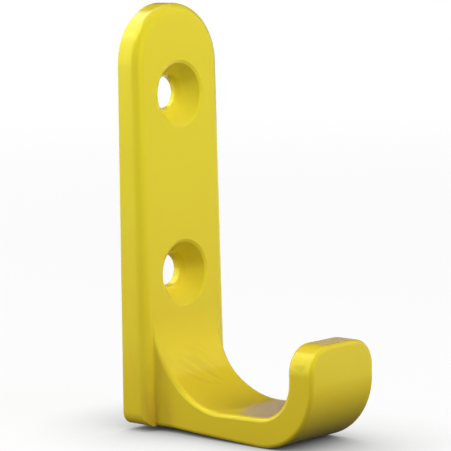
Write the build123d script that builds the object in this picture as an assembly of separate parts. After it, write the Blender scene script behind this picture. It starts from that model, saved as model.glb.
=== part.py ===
"""One-piece cast J hook: a tapered wall plate and an arm that leaves its foot and turns up at the tip."""
import os
from math import radians, tan

from build123d import *

# Sizes are in millimetres and degrees. Z is up, the wall is the plane Y = 0, and the hook reaches towards -Y.
# The origin lies on the wall face, midway between the two screw holes.

# Wall plate
plate_height = 70.0
plate_top_width = 20.0
plate_foot_width = 20.5
plate_top_thickness = 4.3
plate_foot_thickness = 5.4
plate_front_round = 1.7
plate_foot_corner = 2.2

# Countersunk screw holes, with small chamfers at the rim and at the step from the cone to the bore
hole_spacing = 30.0
lower_hole_height = 25.0
hole_diameter = 5.4
countersink_diameter = 10.7
countersink_angle = 82.0
bore_chamfer = 0.6
rim_chamfer = 0.3

# Arm, seen from the side
reach = 39.0
saddle_radius = 14.3
tray_height = 3.45
tray_rise = 1.5
throat_radius = 6.3
tip_thickness = 5.1
tip_height = 16.4
heel_radius = 11.0
underside_fall = 2.2

# Arm, seen from above and from the front
arm_width = 15.7
waist_width = 14.9
flare_width = 16.3
draw_in_start = 17.0
draw_in_radius = 100.0
flare_length = 2.6
flare_radius = 8.0
root_cove = 0.8
tip_corner = 4.5
edge_round = 0.75

# Parts of the arm that lie inside the plate
root_depth = plate_top_thickness / 2
root_rise = 1.1 * saddle_radius
cove_sink = 0.2
cove_tail = 0.5

# Heights above the foot are carried to Z through the level of the foot.
foot_level = -(lower_hole_height + hole_spacing / 2)
top_level = foot_level + plate_height
tip_level = foot_level + tip_height
front_lean = (plate_foot_thickness - plate_top_thickness) / plate_height
underside_start = (plate_foot_thickness + plate_top_thickness) / 2
cutter_margin = 5.0


def thickness_at(level):
    """Thickness of the plate at a height Z, on its leaning front face."""
    return plate_foot_thickness - front_lean * (level - foot_level)


def underside_at(depth):
    """Level of the arm's underside at a distance from the wall: it leaves the foot and falls outwards."""
    return foot_level - tan(radians(underside_fall)) * (depth - underside_start)


def rounded(face, corner, radius):
    """Round the corner of a flat face that lies nearest to a point."""
    return fillet(face.vertices().sort_by_distance(corner)[0], radius)


def plate_outline(below):
    """Front view of the plate: full round top and straight sides, which run on below the foot."""
    top_radius = plate_top_width / 2
    shoulder = top_level - top_radius
    spread = (plate_foot_width - plate_top_width) / 2 / (shoulder - foot_level)
    end_level = foot_level - below
    end_half = top_radius + spread * (shoulder - end_level)
    sides = Polyline(
        (-top_radius, shoulder),
        (-end_half, end_level),
        (end_half, end_level),
        (top_radius, shoulder),
    )
    crown = ThreePointArc((top_radius, shoulder), (0, top_level), (-top_radius, shoulder))
    return make_face(sides + crown)


def front_prism(face, depth):
    """Carry a front view from the wall face out to a depth in -Y."""
    return extrude(Plane.XZ * face, depth)


def make_plate():
    """Plate with a leaning front face, a rounded front edge and a flat foot with round corners."""
    lowest = foot_level - cutter_margin
    side_view = make_face(
        Polyline(
            (0, top_level),
            (-thickness_at(top_level), top_level),
            (-thickness_at(lowest), lowest),
            (0, lowest),
            close=True,
        )
    )
    slab = extrude(Plane.YZ * side_view, plate_foot_width, both=True)
    plate = slab & front_prism(plate_outline(cutter_margin), 2 * plate_foot_thickness)
    front_face = plate.faces().sort_by(Axis.Y)[0]
    crown_edge = front_face.edges().sort_by(Axis.Z)[-1]
    plate = fillet(crown_edge, plate_front_round)

    foot_view = plate_outline(0)
    for corner in foot_view.vertices().group_by(Axis.Y)[0]:
        foot_view = rounded(foot_view, corner, plate_foot_corner)
    return plate & front_prism(foot_view, 2 * plate_foot_thickness)


def arm_side_view():
    """Side view of the arm: saddle, tray, throat, upright tip and heel, with a root inside the plate."""
    tip_back = reach - tip_thickness
    tray_level = foot_level + tray_height
    tray_start = thickness_at(tray_level)
    tray_end_level = tray_level + tan(radians(tray_rise)) * (tip_back - tray_start)
    root_top = tray_level + root_rise
    saddle_corner = (-tray_start, tray_level)
    throat_corner = (-tip_back, tray_end_level)
    heel_corner = (-reach, underside_at(reach))
    view = make_face(
        Polyline(
            (-root_depth, root_top),
            (-thickness_at(root_top), root_top),
            saddle_corner,
            throat_corner,
            (-tip_back, tip_level),
            (-reach, tip_level),
            heel_corner,
            (-root_depth, underside_at(root_depth)),
            close=True,
        )
    )
    view = rounded(view, saddle_corner, saddle_radius)
    view = rounded(view, throat_corner, throat_radius)
    return rounded(view, heel_corner, heel_radius)


def arm_plan():
    """Plan of the arm at the foot: parallel sides that draw in to a waist and then flare out into the plate.

    The coves at the root sink a little under the plate's front face, so that the two faces cross in a valley,
    and are cut off inside the plate just beyond it.
    """
    half = arm_width / 2
    waist_half = waist_width / 2
    valley_half = flare_width / 2
    tail_half = valley_half + 2 * root_cove
    cove_line = plate_foot_thickness - cove_sink
    flare_line = plate_foot_thickness + flare_length
    front_line = reach + cutter_margin
    right_side = [
        (half, -front_line),
        (half, -draw_in_start),
        (waist_half, -flare_line),
        (valley_half, -cove_line),
        (tail_half, -cove_line),
        (tail_half, -root_depth),
    ]
    left_side = [(-across, along) for across, along in reversed(right_side)]
    plan = make_face(Polyline(*right_side, *left_side, close=True))
    for side in (-1, 1):
        plan = rounded(plan, (side * half, -draw_in_start), draw_in_radius)
        plan = rounded(plan, (side * waist_half, -flare_line), flare_radius)
        plan = rounded(plan, (side * valley_half, -cove_line), root_cove)
    return plan & Rectangle(2 * (valley_half + cove_tail), 2 * front_line)


def make_arm():
    """Arm with the tip's upper corners rounded, and then all its long edges."""
    blank = extrude(Plane.YZ * arm_side_view(), plate_foot_width, both=True)
    along_front = (0, front_lean, 1)
    plan_prism = extrude(Pos(0, 0, foot_level) * arm_plan(), plate_height, dir=along_front, both=True)
    arm = blank & plan_prism
    tip_top = arm.faces().filter_by(Axis.Z).sort_by(Axis.Y)[0]
    arm = fillet(tip_top.edges().filter_by(Axis.Y), tip_corner)
    tip_top = arm.faces().filter_by(Axis.Z).sort_by(Axis.Y)[0]
    return fillet(tip_top.edges().filter_by(Axis.X), edge_round)


def countersunk_hole(level):
    """Cutter for one screw hole, with its cone's rim on the plate's front face."""
    front = thickness_at(level)
    flare = tan(radians(countersink_angle / 2))
    cone_depth = (countersink_diameter - hole_diameter) / 2 / flare
    cone_foot = (hole_diameter / 2, cone_depth - front)
    section = make_face(
        Polyline(
            (0, cutter_margin),
            (hole_diameter / 2, cutter_margin),
            cone_foot,
            (countersink_diameter / 2 + cutter_margin * flare, -front - cutter_margin),
            (0, -front - cutter_margin),
            close=True,
        )
    )
    step = section.vertices().sort_by_distance(cone_foot)[0]
    return Pos(0, 0, level) * revolve(chamfer(step, bore_chamfer), Axis.Y)


plate = make_plate()
arm = make_arm()
for hole_level in (-hole_spacing / 2, hole_spacing / 2):
    cutter = countersunk_hole(hole_level)
    plate -= cutter
    arm -= cutter
plate_front = plate.faces().sort_by(Axis.Y)[0]
rims = [edge for wire in plate_front.inner_wires() for edge in wire.edges()]
hook = chamfer(rims, rim_chamfer) + arm

os.makedirs("parts", exist_ok=True)
export_step(hook, "parts/j_hook.step")
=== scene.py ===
"""Studio scene for a cast J hook: yellow paint, pale floor, soft boxes and camera. Lengths are metres."""
import logging
from dataclasses import dataclass, field
from enum import Enum
from math import cos, radians, sin

import bpy
from mathutils import Matrix, Vector


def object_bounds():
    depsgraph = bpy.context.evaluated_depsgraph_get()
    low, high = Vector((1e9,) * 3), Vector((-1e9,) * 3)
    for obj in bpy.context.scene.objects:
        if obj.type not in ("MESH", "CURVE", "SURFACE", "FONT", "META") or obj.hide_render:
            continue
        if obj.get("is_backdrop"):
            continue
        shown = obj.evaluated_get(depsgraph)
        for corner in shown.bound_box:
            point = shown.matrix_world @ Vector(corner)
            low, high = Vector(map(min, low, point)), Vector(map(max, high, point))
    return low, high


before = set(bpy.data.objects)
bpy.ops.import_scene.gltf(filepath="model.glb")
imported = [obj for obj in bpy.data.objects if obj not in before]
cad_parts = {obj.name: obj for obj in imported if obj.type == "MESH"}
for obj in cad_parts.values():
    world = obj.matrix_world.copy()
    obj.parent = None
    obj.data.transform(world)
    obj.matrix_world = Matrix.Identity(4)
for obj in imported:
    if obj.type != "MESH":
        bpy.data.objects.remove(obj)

MM = 0.001
PICTURE_SIDE = 451

Colour = tuple[float, float, float]
Point = tuple[float, float, float]

BLACK: Colour = (0.0, 0.0, 0.0)
WHITE: Colour = (1.0, 1.0, 1.0)
UP: Point = (0.0, 0.0, 1.0)

# Noise lies between 0 and 1 about a middle, and its detail counts the finer noise that is added to it.
NOISE_MIDDLE = 0.5
NOISE_DETAIL = 2.0

# The Mix node's colour sockets go by number, because it has several sockets of each name.
MIX_FIRST = 6
MIX_SECOND = 7
MIX_RESULT = 2

log = logging.getLogger("j_hook_scene")


def direction(azimuth: float, elevation: float) -> Vector:
    """Unit vector out from the hook, by angles in degrees: azimuth 0 is in front, at -Y, and 90 at +X."""
    turn, rise = radians(azimuth), radians(elevation)
    return Vector((sin(turn) * cos(rise), -cos(turn) * cos(rise), sin(rise)))


def opaque(colour: Colour) -> tuple[float, float, float, float]:
    """The colour with a full alpha, as a colour socket takes it."""
    return (*colour, 1.0)


class NodeKind(Enum):
    """The node types that the paint and the studio use, by a plain name."""

    ADD_SHADER = "ShaderNodeAddShader"
    BACKGROUND = "ShaderNodeBackground"
    BUMP = "ShaderNodeBump"
    COORDINATES = "ShaderNodeTexCoord"
    DIFFUSE = "ShaderNodeBsdfDiffuse"
    EMISSION = "ShaderNodeEmission"
    LIGHT_PATH = "ShaderNodeLightPath"
    MATERIAL_OUTPUT = "ShaderNodeOutputMaterial"
    MATHS = "ShaderNodeMath"
    MIX_COLOUR = "ShaderNodeMix"
    MIX_SHADER = "ShaderNodeMixShader"
    NOISE = "ShaderNodeTexNoise"
    OCCLUSION = "ShaderNodeAmbientOcclusion"
    PRINCIPLED = "ShaderNodeBsdfPrincipled"
    RANGE = "ShaderNodeMapRange"
    VECTOR_MATHS = "ShaderNodeVectorMath"
    WORLD_OUTPUT = "ShaderNodeOutputWorld"


class Ray(Enum):
    """The kinds of ray that the studio tells apart, as Light Path names them."""

    CAMERA = "Is Camera Ray"
    DIFFUSE = "Is Diffuse Ray"
    GLOSSY = "Is Glossy Ray"
    CLEAR = "Is Transmission Ray"


class Shine(Enum):
    """What a soft box lights, as two answers: for the paint's body and for its gloss."""

    BODY = (True, False)
    GLOSS = (False, True)


class Wire:
    """A node's output socket. Arithmetic on it adds Math nodes to the sheet that it lies on."""

    def __init__(self, sheet: "NodeSheet", socket: bpy.types.NodeSocket) -> None:
        """Keep the socket and its sheet."""
        self.sheet = sheet
        self.socket = socket

    def _maths(self, operation: str, first: "Wire | float", second: "Wire | float") -> "Wire":
        """Add one Math node with two inputs."""
        return self.sheet.node(NodeKind.MATHS, {"operation": operation}, {0: first, 1: second})

    def __add__(self, other: "Wire | float") -> "Wire":
        """Sum of this value and another."""
        return self._maths("ADD", self, other)

    def __radd__(self, other: float) -> "Wire":
        """Sum of a number and this value."""
        return self._maths("ADD", other, self)

    def __sub__(self, other: "Wire | float") -> "Wire":
        """This value less another."""
        return self._maths("SUBTRACT", self, other)

    def __rsub__(self, other: float) -> "Wire":
        """A number less this value."""
        return self._maths("SUBTRACT", other, self)

    def __mul__(self, other: "Wire | float") -> "Wire":
        """Product of this value and another."""
        return self._maths("MULTIPLY", self, other)

    def __rmul__(self, other: float) -> "Wire":
        """Product of a number and this value."""
        return self._maths("MULTIPLY", other, self)

    def highest(self, other: "Wire | float") -> "Wire":
        """The larger of this value and another."""
        return self._maths("MAXIMUM", self, other)


class NodeSheet:
    """The node tree of one material or of the world, emptied and then filled by calls."""

    def __init__(self, owner: "bpy.types.Material | bpy.types.World") -> None:
        """Empty the owner's node tree and keep it.

        Args:
            owner: The material or the world.
        """
        owner.use_nodes = True
        self.tree = owner.node_tree
        self.tree.nodes.clear()

    def node(
        self,
        kind: NodeKind,
        settings: dict[str, object] | None = None,
        inputs: dict[int | str, object] | None = None,
        output: int | str = 0,
    ) -> Wire:
        """Add a node.

        Args:
            kind: The node's type.
            settings: Properties of the node, which are set first.
            inputs: Values or wires for its sockets, by name or number.
            output: The output socket to give back.

        Returns:
            The wire that leaves that output.
        """
        made = self.tree.nodes.new(kind.value)
        for name, value in (settings or {}).items():
            setattr(made, name, value)
        for key, value in (inputs or {}).items():
            if isinstance(value, Wire):
                self.tree.links.new(value.socket, made.inputs[key])
            else:
                made.inputs[key].default_value = value
        return Wire(self, made.outputs[output])

    def place(self) -> Wire:
        """The point on the surface, in Object coordinates."""
        return self.node(NodeKind.COORDINATES, output="Object")

    def ray(self, kind: Ray) -> Wire:
        """One for a ray of that kind, and 0 for the others."""
        return self.node(NodeKind.LIGHT_PATH, output=kind.value)

    def mix_colours(self, share: Wire, first: "Wire | Colour", second: "Wire | Colour") -> Wire:
        """Blend two colours.

        Args:
            share: The share of the second colour, from 0 to 1.
            first: The colour at 0.
            second: The colour at 1.

        Returns:
            The blended colour.
        """
        ends = [end if isinstance(end, Wire) else opaque(end) for end in (first, second)]
        inputs = {"Factor": share, MIX_FIRST: ends[0], MIX_SECOND: ends[1]}
        return self.node(NodeKind.MIX_COLOUR, {"data_type": "RGBA"}, inputs, MIX_RESULT)

    def spread(self, value: Wire, low: float, high: float) -> Wire:
        """Carry a range of values smoothly to 0 to 1, with the rest clamped."""
        settings = {"interpolation_type": "SMOOTHSTEP"}
        return self.node(NodeKind.RANGE, settings, {"Value": value, "From Min": low, "From Max": high})

    def vector(self, operation: str, *values: "Wire | Point | Vector", output: str = "Vector") -> Wire:
        """Add one Vector Math node with its inputs in order."""
        return self.node(NodeKind.VECTOR_MATHS, {"operation": operation}, dict(enumerate(values)), output)

    def along(self, place: Wire, way: "Point | Vector") -> Wire:
        """How far a point lies from the origin along a unit vector."""
        return self.vector("DOT_PRODUCT", place, way, output="Value")

    def noise(self, place: Wire, scale: float) -> Wire:
        """Smooth noise of a scale given in waves a metre."""
        return self.node(NodeKind.NOISE, inputs={"Vector": place, "Scale": scale, "Detail": NOISE_DETAIL})

    def out(self, shader: Wire, end: NodeKind) -> None:
        """Link a shader to the tree's output node, of the type that the tree's owner needs."""
        last = self.tree.nodes.new(end.value)
        self.tree.links.new(shader.socket, last.inputs["Surface"])


@dataclass(frozen=True)
class RubAndShade:
    """A patch of faint streaks that run one way about a point: rubbing and dirt on the saddle and the tip,
    painted shade beside the arm's root.

    The streaks have their full strength in the patch's core, a share of its reach, and fade out from there.
    They lie where noise is high, and the stretch, from 0 to 1, pulls that noise out along their way.
    """

    middle: Point
    reach: float
    way: Point
    tone: Colour
    amount: float
    fineness: float
    stretch: float = 0.82
    core_share: float = 1 / 3
    streak_start: float = 0.45
    streak_full: float = 0.65

    def wear_and_shade(self, sheet: NodeSheet, place: Wire) -> Wire:
        """Mask of the streaks: noise that changes slowly along their way, fading out from the middle.

        Args:
            sheet: The node tree of the paint.
            place: The point on the surface.

        Returns:
            The share of the patch's tone, from 0 to its amount.
        """
        way = Vector(self.way).normalized()
        pulled = sheet.vector("MULTIPLY", sheet.along(place, way), way * self.stretch)
        noise = sheet.noise(sheet.vector("SUBTRACT", place, pulled), self.fineness)
        streaks = sheet.spread(noise, self.streak_start, self.streak_full)
        away = sheet.vector("DISTANCE", place, self.middle, output="Value")
        near = 1.0 - sheet.spread(away, self.core_share * self.reach, self.reach)
        return self.amount * near * streaks


SADDLE_SCUFFS = RubAndShade(
    middle=(0.0 * MM, -8.3 * MM, -31.0 * MM),
    reach=6.0 * MM,
    way=(0.74, -0.45, -0.50),
    tone=(0.54, 0.39, 0.04),
    amount=0.28,
    fineness=1000.0,
)
TIP_SMUDGE = RubAndShade(
    middle=(-7.8 * MM, -36.4 * MM, -27.2 * MM),
    reach=1.8 * MM,
    way=(0.0, 1.0, 0.0),
    tone=(0.50, 0.35, 0.03),
    amount=0.6,
    fineness=950.0,
    stretch=0.4,
)
# Painted shade: the two strips below darken and warm the paint beside the arm's root valley, where shade
# falls in the crease.
LOW_ROOT_PAINTED_SHADE = RubAndShade(
    middle=(-9.3 * MM, -5.0 * MM, -37.5 * MM),
    reach=5.5 * MM,
    way=UP,
    tone=(0.70, 0.44, 0.04),
    amount=0.75,
    fineness=400.0,
)
HIGH_ROOT_PAINTED_SHADE = RubAndShade(
    middle=(-8.8 * MM, -5.0 * MM, -29.5 * MM),
    reach=5.0 * MM,
    way=UP,
    tone=(0.70, 0.46, 0.04),
    amount=0.7,
    fineness=400.0,
)


@dataclass(frozen=True)
class YellowPaint:
    """Glossy yellow paint over a casting, with slight orange peel, scuffs and a smudge, painted shade
    beside the arm's root, and a tone that drifts.

    The tone goes from lemon above to warm below, painted light for the lit top and the shaded foot, between
    two levels that drift with noise. The roughness stays low throughout, so that the gloss shows its
    surroundings sharply.
    """

    slot: str = "yellow_paint"
    # Painted light: lemon where the top is lit, and warm towards the shaded foot.
    lit_lemon_tone: Colour = (0.735, 0.592, 0.030)
    shaded_warm_tone: Colour = (0.742, 0.560, 0.030)
    lit_lemon_level: float = 6.0 * MM
    shaded_warm_level: float = -34.0 * MM
    drift_scale: float = 110.0
    drift_reach: float = 60.0 * MM
    roughness: float = 0.15
    roughness_drift: float = 0.05
    mark_roughness: float = 0.08
    gloss_level: float = 0.7
    gloss_tint: Colour = (0.78, 1.0, 0.04)
    peel_scale: float = 700.0
    peel_height: float = 0.012 * MM
    peel_strength: float = 0.25
    # Scuffs and a smudge, then the two strips of painted shade beside the arm's root.
    rubs_and_shade: tuple[RubAndShade, ...] = (SADDLE_SCUFFS, TIP_SMUDGE, LOW_ROOT_PAINTED_SHADE, HIGH_ROOT_PAINTED_SHADE)

    def material(self) -> bpy.types.Material:
        """Make the paint.

        Returns:
            The material, read in Object coordinates.
        """
        made = bpy.data.materials.new(self.slot)
        sheet = NodeSheet(made)
        place = sheet.place()
        drift = sheet.noise(place, self.drift_scale) - NOISE_MIDDLE
        height = sheet.along(place, UP) + self.drift_reach * drift
        # Painted light: the share of lemon rises from the shaded foot to the lit top, and the drift adds
        # random tone.
        lemon = sheet.spread(height, self.shaded_warm_level, self.lit_lemon_level)
        colour = sheet.mix_colours(lemon, self.shaded_warm_tone, self.lit_lemon_tone)
        roughness = self.roughness + self.roughness_drift * drift
        # Mix in the scuffs, the smudge and the painted shade beside the arm's root.
        for mark in self.rubs_and_shade:
            wear_and_shade = mark.wear_and_shade(sheet, place)
            colour = sheet.mix_colours(wear_and_shade, colour, mark.tone)
            roughness = roughness + self.mark_roughness * wear_and_shade
        peel = sheet.noise(place, self.peel_scale)
        relief = sheet.node(
            NodeKind.BUMP,
            inputs={"Strength": self.peel_strength, "Distance": self.peel_height, "Height": peel},
        )
        shader = sheet.node(
            NodeKind.PRINCIPLED,
            inputs={
                "Base Color": colour,
                "Roughness": roughness,
                "Specular IOR Level": self.gloss_level,
                "Specular Tint": opaque(self.gloss_tint),
                "Normal": relief,
            },
        )
        sheet.out(shader, NodeKind.MATERIAL_OUTPUT)
        return made


@dataclass
class CastHook:
    """The hook, one casting."""

    node: str = "j_hook"
    paint: YellowPaint = field(default_factory=YellowPaint)

    def dress(self) -> bpy.types.Object:
        """Paint the hook.

        Returns:
            The hook's object.
        """
        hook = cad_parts[self.node]
        hook.data.materials.clear()
        hook.data.materials.append(self.paint.material())
        return hook


@dataclass(frozen=True)
class Lamp:
    """A square soft box that faces the hook, placed by angles in degrees, with its power in watts."""

    name: str
    lights: Shine
    azimuth: float
    elevation: float
    side: float
    power: float
    distance: float = 0.6

    def place(self, aim: Vector) -> None:
        """Add the lamp.

        Args:
            aim: The point that it faces.
        """
        data = bpy.data.lights.new(self.name, "AREA")
        data.shape = "SQUARE"
        data.size = self.side
        data.energy = self.power
        lamp = bpy.data.objects.new(self.name, data)
        back = direction(self.azimuth, self.elevation)
        lamp.location = aim + back * self.distance
        lamp.visible_diffuse, lamp.visible_glossy = self.lights.value
        lamp.rotation_mode = "QUATERNION"
        lamp.rotation_quaternion = back.to_track_quat("Z", "Y")
        bpy.context.scene.collection.objects.link(lamp)


@dataclass
class Studio:
    """White floor and surroundings, soft boxes, and a violet card that shows in the hook's gloss."""

    # Floor: its body's tones near the hook and away from it, its glow where it is lit, and the reach of
    # the shade where the hook comes close to it
    floor_side: float = 3.0
    shaded_tone: Colour = (0.08, 0.08, 0.08)
    open_tone: Colour = (0.55, 0.55, 0.55)
    floor_glow: float = 0.9
    contact_reach: float = 20.0 * MM

    # Distances from the origin between which the floor goes from lit to unlit, from shade to white in
    # reflections, and from the shaded to the open tone for light that bounces off it
    lit_radius: float = 0.15
    unlit_radius: float = 0.9
    shade_radius: float = 0.045
    white_radius: float = 0.13
    dim_radius: float = 0.05
    pale_radius: float = 0.16

    # Card, which is bright up to one height above the floor and dark from another
    card_azimuth: float = 112.0
    card_distance: float = 0.7
    card_width: float = 1.2
    card_height: float = 1.0
    card_bright_height: float = 0.12
    card_dark_height: float = 0.22
    card_tone: Colour = (0.21, 0.17, 0.54)
    card_dark_tone: Colour = (0.07, 0.06, 0.04)

    lamps: tuple[Lamp, ...] = (
        Lamp("front_box", Shine.BODY, azimuth=0, elevation=46, side=0.35, power=1.25, distance=0.42),
        Lamp("low_front_fill", Shine.BODY, azimuth=5, elevation=24, side=0.35, power=0.9),
        Lamp("right_fill", Shine.BODY, azimuth=42, elevation=20, side=0.4, power=0.8),
        Lamp("low_left_fill", Shine.BODY, azimuth=-102, elevation=10, side=0.4, power=1.4),
        Lamp("low_back_left_fill", Shine.BODY, azimuth=-140, elevation=14, side=0.4, power=1.6),
        Lamp("back_fill", Shine.BODY, azimuth=-160, elevation=42, side=0.5, power=2.05),
        Lamp("low_back_left_shine", Shine.GLOSS, azimuth=-139, elevation=20, side=0.45, power=1.1),
        Lamp("back_shine", Shine.GLOSS, azimuth=-172, elevation=44, side=0.45, power=1.6),
        Lamp("left_shine", Shine.GLOSS, azimuth=-118, elevation=54, side=0.3, power=1.1),
        Lamp("front_shine", Shine.GLOSS, azimuth=-15, elevation=13, side=0.42, power=0.75),
    )

    def build(self, level: float, aim: Vector) -> None:
        """Lay the floor and set the card, the surroundings and the lamps.

        Args:
            level: The height of the floor.
            aim: The point that the card and the lamps stand about.
        """
        self._floor(level)
        self._card(level, aim)
        self._surroundings()
        for lamp in self.lamps:
            lamp.place(aim)

    def _panel(self, name: str, corners: list[Vector]) -> tuple[bpy.types.Object, NodeSheet]:
        """Add a staged flat panel with a bare material.

        Args:
            name: The name of the panel and of its material.
            corners: Its four corners, in order.

        Returns:
            The panel and the empty node tree of its material.
        """
        mesh = bpy.data.meshes.new(name)
        mesh.from_pydata(corners, [], [(0, 1, 2, 3)])
        panel = bpy.data.objects.new(name, mesh)
        bpy.context.scene.collection.objects.link(panel)
        panel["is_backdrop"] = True
        material = bpy.data.materials.new(name)
        mesh.materials.append(material)
        return panel, NodeSheet(material)

    def _floor(self, level: float) -> None:
        """A flat square, white to the eye and in reflections but for the hook's shade.

        It has a dark matt body and glows to make up the white. To the eye the glow is less close under the
        hook and more where the lamps' light falls off. In reflections it rises from nothing under the hook
        to white. Light that bounces from it to the hook meets a body that grows paler away from the hook.

        Args:
            level: The height of the floor.
        """
        half = self.floor_side / 2
        corners = [Vector((x * half, y * half, level)) for x, y in ((-1, -1), (1, -1), (1, 1), (-1, 1))]
        _, sheet = self._panel("floor", corners)
        radius = sheet.vector("LENGTH", sheet.place(), output="Value")
        clear = sheet.node(NodeKind.OCCLUSION, inputs={"Distance": self.contact_reach}, output="AO")
        unlit = sheet.spread(radius, self.lit_radius, self.unlit_radius)
        to_eye = clear * (self.floor_glow + (1.0 - self.floor_glow) * unlit)
        mirrored = sheet.spread(radius, self.shade_radius, self.white_radius)
        share = to_eye + sheet.ray(Ray.GLOSSY) * (mirrored - to_eye)
        glow = sheet.node(NodeKind.EMISSION, inputs={"Color": sheet.mix_colours(share, BLACK, WHITE)})
        paler = sheet.ray(Ray.DIFFUSE) * sheet.spread(radius, self.dim_radius, self.pale_radius)
        body = sheet.mix_colours(paler, self.shaded_tone, self.open_tone)
        matt = sheet.node(NodeKind.DIFFUSE, inputs={"Color": body})
        bright = sheet.node(NodeKind.ADD_SHADER, inputs={0: matt, 1: glow})
        shader = sheet.node(NodeKind.MIX_SHADER, inputs={0: self._seen(sheet), 1: matt, 2: bright})
        sheet.out(shader, NodeKind.MATERIAL_OUTPUT)

    def _card(self, level: float, aim: Vector) -> None:
        """An upright violet card that only reflections see, bright at its foot and dark above.

        Args:
            level: The height of the floor, which it stands on.
            aim: The point that it faces.
        """
        back = direction(self.card_azimuth, elevation=0.0)
        across = Vector(UP).cross(back) * (self.card_width / 2)
        foot = Vector((aim.x, aim.y, level)) + back * self.card_distance
        rise = Vector(UP) * self.card_height
        corners = [foot - across, foot + across, foot + across + rise, foot - across + rise]
        card, sheet = self._panel("violet_card", corners)
        card.visible_camera = False
        card.visible_diffuse = False
        card.visible_shadow = False
        height = sheet.along(sheet.place(), UP) - level
        dark = sheet.spread(height, self.card_bright_height, self.card_dark_height)
        tone = sheet.mix_colours(dark, self.card_tone, self.card_dark_tone)
        sheet.out(sheet.node(NodeKind.EMISSION, inputs={"Color": tone}), NodeKind.MATERIAL_OUTPUT)

    def _surroundings(self) -> None:
        """A world that is white to the eye and in reflections, and doesn't light the paint's body."""
        world = bpy.data.worlds.new("surroundings")
        bpy.context.scene.world = world
        sheet = NodeSheet(world)
        inputs = {"Color": opaque(WHITE), "Strength": self._seen(sheet)}
        sheet.out(sheet.node(NodeKind.BACKGROUND, inputs=inputs), NodeKind.WORLD_OUTPUT)

    def _seen(self, sheet: NodeSheet) -> Wire:
        """One for a ray that shows its target: from the camera, a reflection or a clear body."""
        mirrored_or_clear = sheet.ray(Ray.GLOSSY).highest(sheet.ray(Ray.CLEAR))
        return sheet.ray(Ray.CAMERA).highest(mirrored_or_clear)


@dataclass(frozen=True)
class PictureCamera:
    """The camera, by the direction that it stands in from its aim and its lens in pixels of the picture.

    Angles are in degrees, and the sensor's width is in millimetres.
    """

    azimuth: float = -48.27
    elevation: float = 6.72
    roll: float = -0.81
    distance: float = 397.5 * MM
    aim: Point = (2.07 * MM, -12.47 * MM, -6.86 * MM)
    focal_pixels: float = 2393.6
    sensor_width: float = 36.0

    def place(self) -> None:
        """Add the camera and make it the scene's own."""
        data = bpy.data.cameras.new("camera")
        data.sensor_fit = "HORIZONTAL"
        data.sensor_width = self.sensor_width
        data.lens = self.sensor_width * self.focal_pixels / PICTURE_SIDE
        camera = bpy.data.objects.new("camera", data)
        back = direction(self.azimuth, self.elevation)
        sideways = Vector(UP).cross(back).normalized()
        upright = back.cross(sideways)
        right = cos(radians(self.roll)) * sideways + sin(radians(self.roll)) * upright
        turn = Matrix((right, back.cross(right), back)).transposed()
        camera.matrix_world = Matrix.Translation(Vector(self.aim) + back * self.distance) @ turn.to_4x4()
        bpy.context.scene.collection.objects.link(camera)
        bpy.context.scene.camera = camera


def main() -> None:
    """Build the scene, piece by piece."""
    logging.basicConfig(level=logging.INFO, format="%(name)s: %(message)s")
    cad_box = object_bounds()
    hook = CastHook().dress()
    log.info("%s: %d faces, in yellow paint", hook.name, len(hook.data.polygons))
    studio = Studio()
    studio.build(level=cad_box[0].z, aim=(cad_box[0] + cad_box[1]) / 2)
    log.info("studio: floor, card and %d soft boxes", len(studio.lamps))
    PictureCamera().place()
    bpy.context.scene.view_settings.view_transform = "Standard"


if __name__ == "__main__":
    main()
